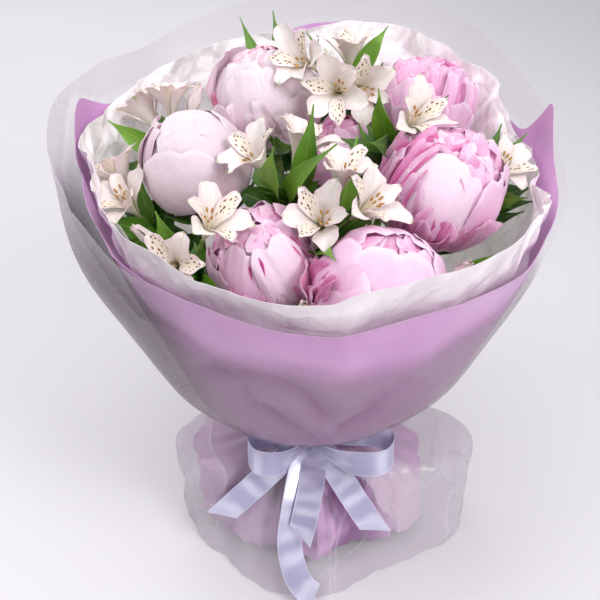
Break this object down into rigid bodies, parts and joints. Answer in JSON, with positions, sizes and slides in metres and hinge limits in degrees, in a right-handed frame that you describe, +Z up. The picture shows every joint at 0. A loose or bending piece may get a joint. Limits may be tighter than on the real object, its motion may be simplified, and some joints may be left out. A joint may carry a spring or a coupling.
{
  "type": "wrapped bunch of peonies",
  "caption": "Hand-tied bunch of pink peonies with white alstroemeria, wrapped in tissue, lilac paper and frosted film, tied with a satin bow and standing on its cut stems.",
  "frame": {"origin": "middle of the centre stem's cut end, on the surface the bunch stands on", "axes": "+Z up along the centre stem, +X to the right and +Y away from the side with the bow"},
  "size_m": [0.4235, 0.421, 0.506],
  "materials": {
    "petal_pale": "matt petal",
    "petal_pink": "matt petal",
    "floret_cream": "matt petal",
    "stem_green": "satin stem",
    "leaf_green": "satin leaf",
    "tissue_white": "crumpled tissue",
    "paper_lilac": "smooth paper",
    "film_frosted": "frosted film",
    "ribbon_satin": "satin",
    "twine": "twisted string"
  },
  "bodies": {
    "root": {"peony_1": "petal_pale", "peony_1_stem": "stem_green", "peony_2": "petal_pale", "peony_2_stem": "stem_green", "peony_3": "petal_pink", "peony_3_stem": "stem_green", "peony_4": "petal_pink", "peony_4_stem": "stem_green", "peony_5": "petal_pink", "peony_5_stem": "stem_green", "peony_6": "petal_pink", "peony_6_stem": "stem_green", "peony_7": "petal_pink", "peony_7_stem": "stem_green", "alstroemeria_3_stem": "leaf_green", "alstroemeria_3_floret_1": "floret_cream", "alstroemeria_3_floret_2": "floret_cream", "alstroemeria_3_bud_3": "floret_cream", "alstroemeria_7_stem": "leaf_green", "alstroemeria_7_floret_1": "floret_cream", "alstroemeria_7_floret_2": "floret_cream", "alstroemeria_8_stem": "leaf_green", "alstroemeria_8_floret_1": "floret_cream", "alstroemeria_8_floret_2": "floret_cream", "alstroemeria_8_floret_3": "floret_cream", "alstroemeria_12_stem": "leaf_green", "alstroemeria_12_bud_1": "floret_cream", "alstroemeria_9_stem": "leaf_green", "alstroemeria_9_bud_1": "floret_cream", "alstroemeria_11_stem": "leaf_green", "alstroemeria_11_floret_1": "floret_cream", "alstroemeria_10_stem": "leaf_green", "alstroemeria_10_floret_1": "floret_cream", "alstroemeria_5_stem": "leaf_green", "alstroemeria_5_floret_1": "floret_cream", "alstroemeria_5_floret_2": "floret_cream", "alstroemeria_5_floret_3": "floret_cream", "alstroemeria_5_floret_4": "floret_cream", "alstroemeria_4_stem": "leaf_green", "alstroemeria_4_floret_1": "floret_cream", "alstroemeria_1_stem": "leaf_green", "alstroemeria_1_floret_1": "floret_cream", "alstroemeria_1_floret_2": "floret_cream", "alstroemeria_1_bud_3": "floret_cream", "alstroemeria_2_stem": "leaf_green", "alstroemeria_2_floret_1": "floret_cream", "alstroemeria_2_floret_2": "floret_cream", "tissue_lining": "tissue_white", "lilac_wrap": "paper_lilac", "frosted_film": "film_frosted", "string_tie": "twine", "ribbon_bow": "ribbon_satin"}
  },
  "joints": []
}
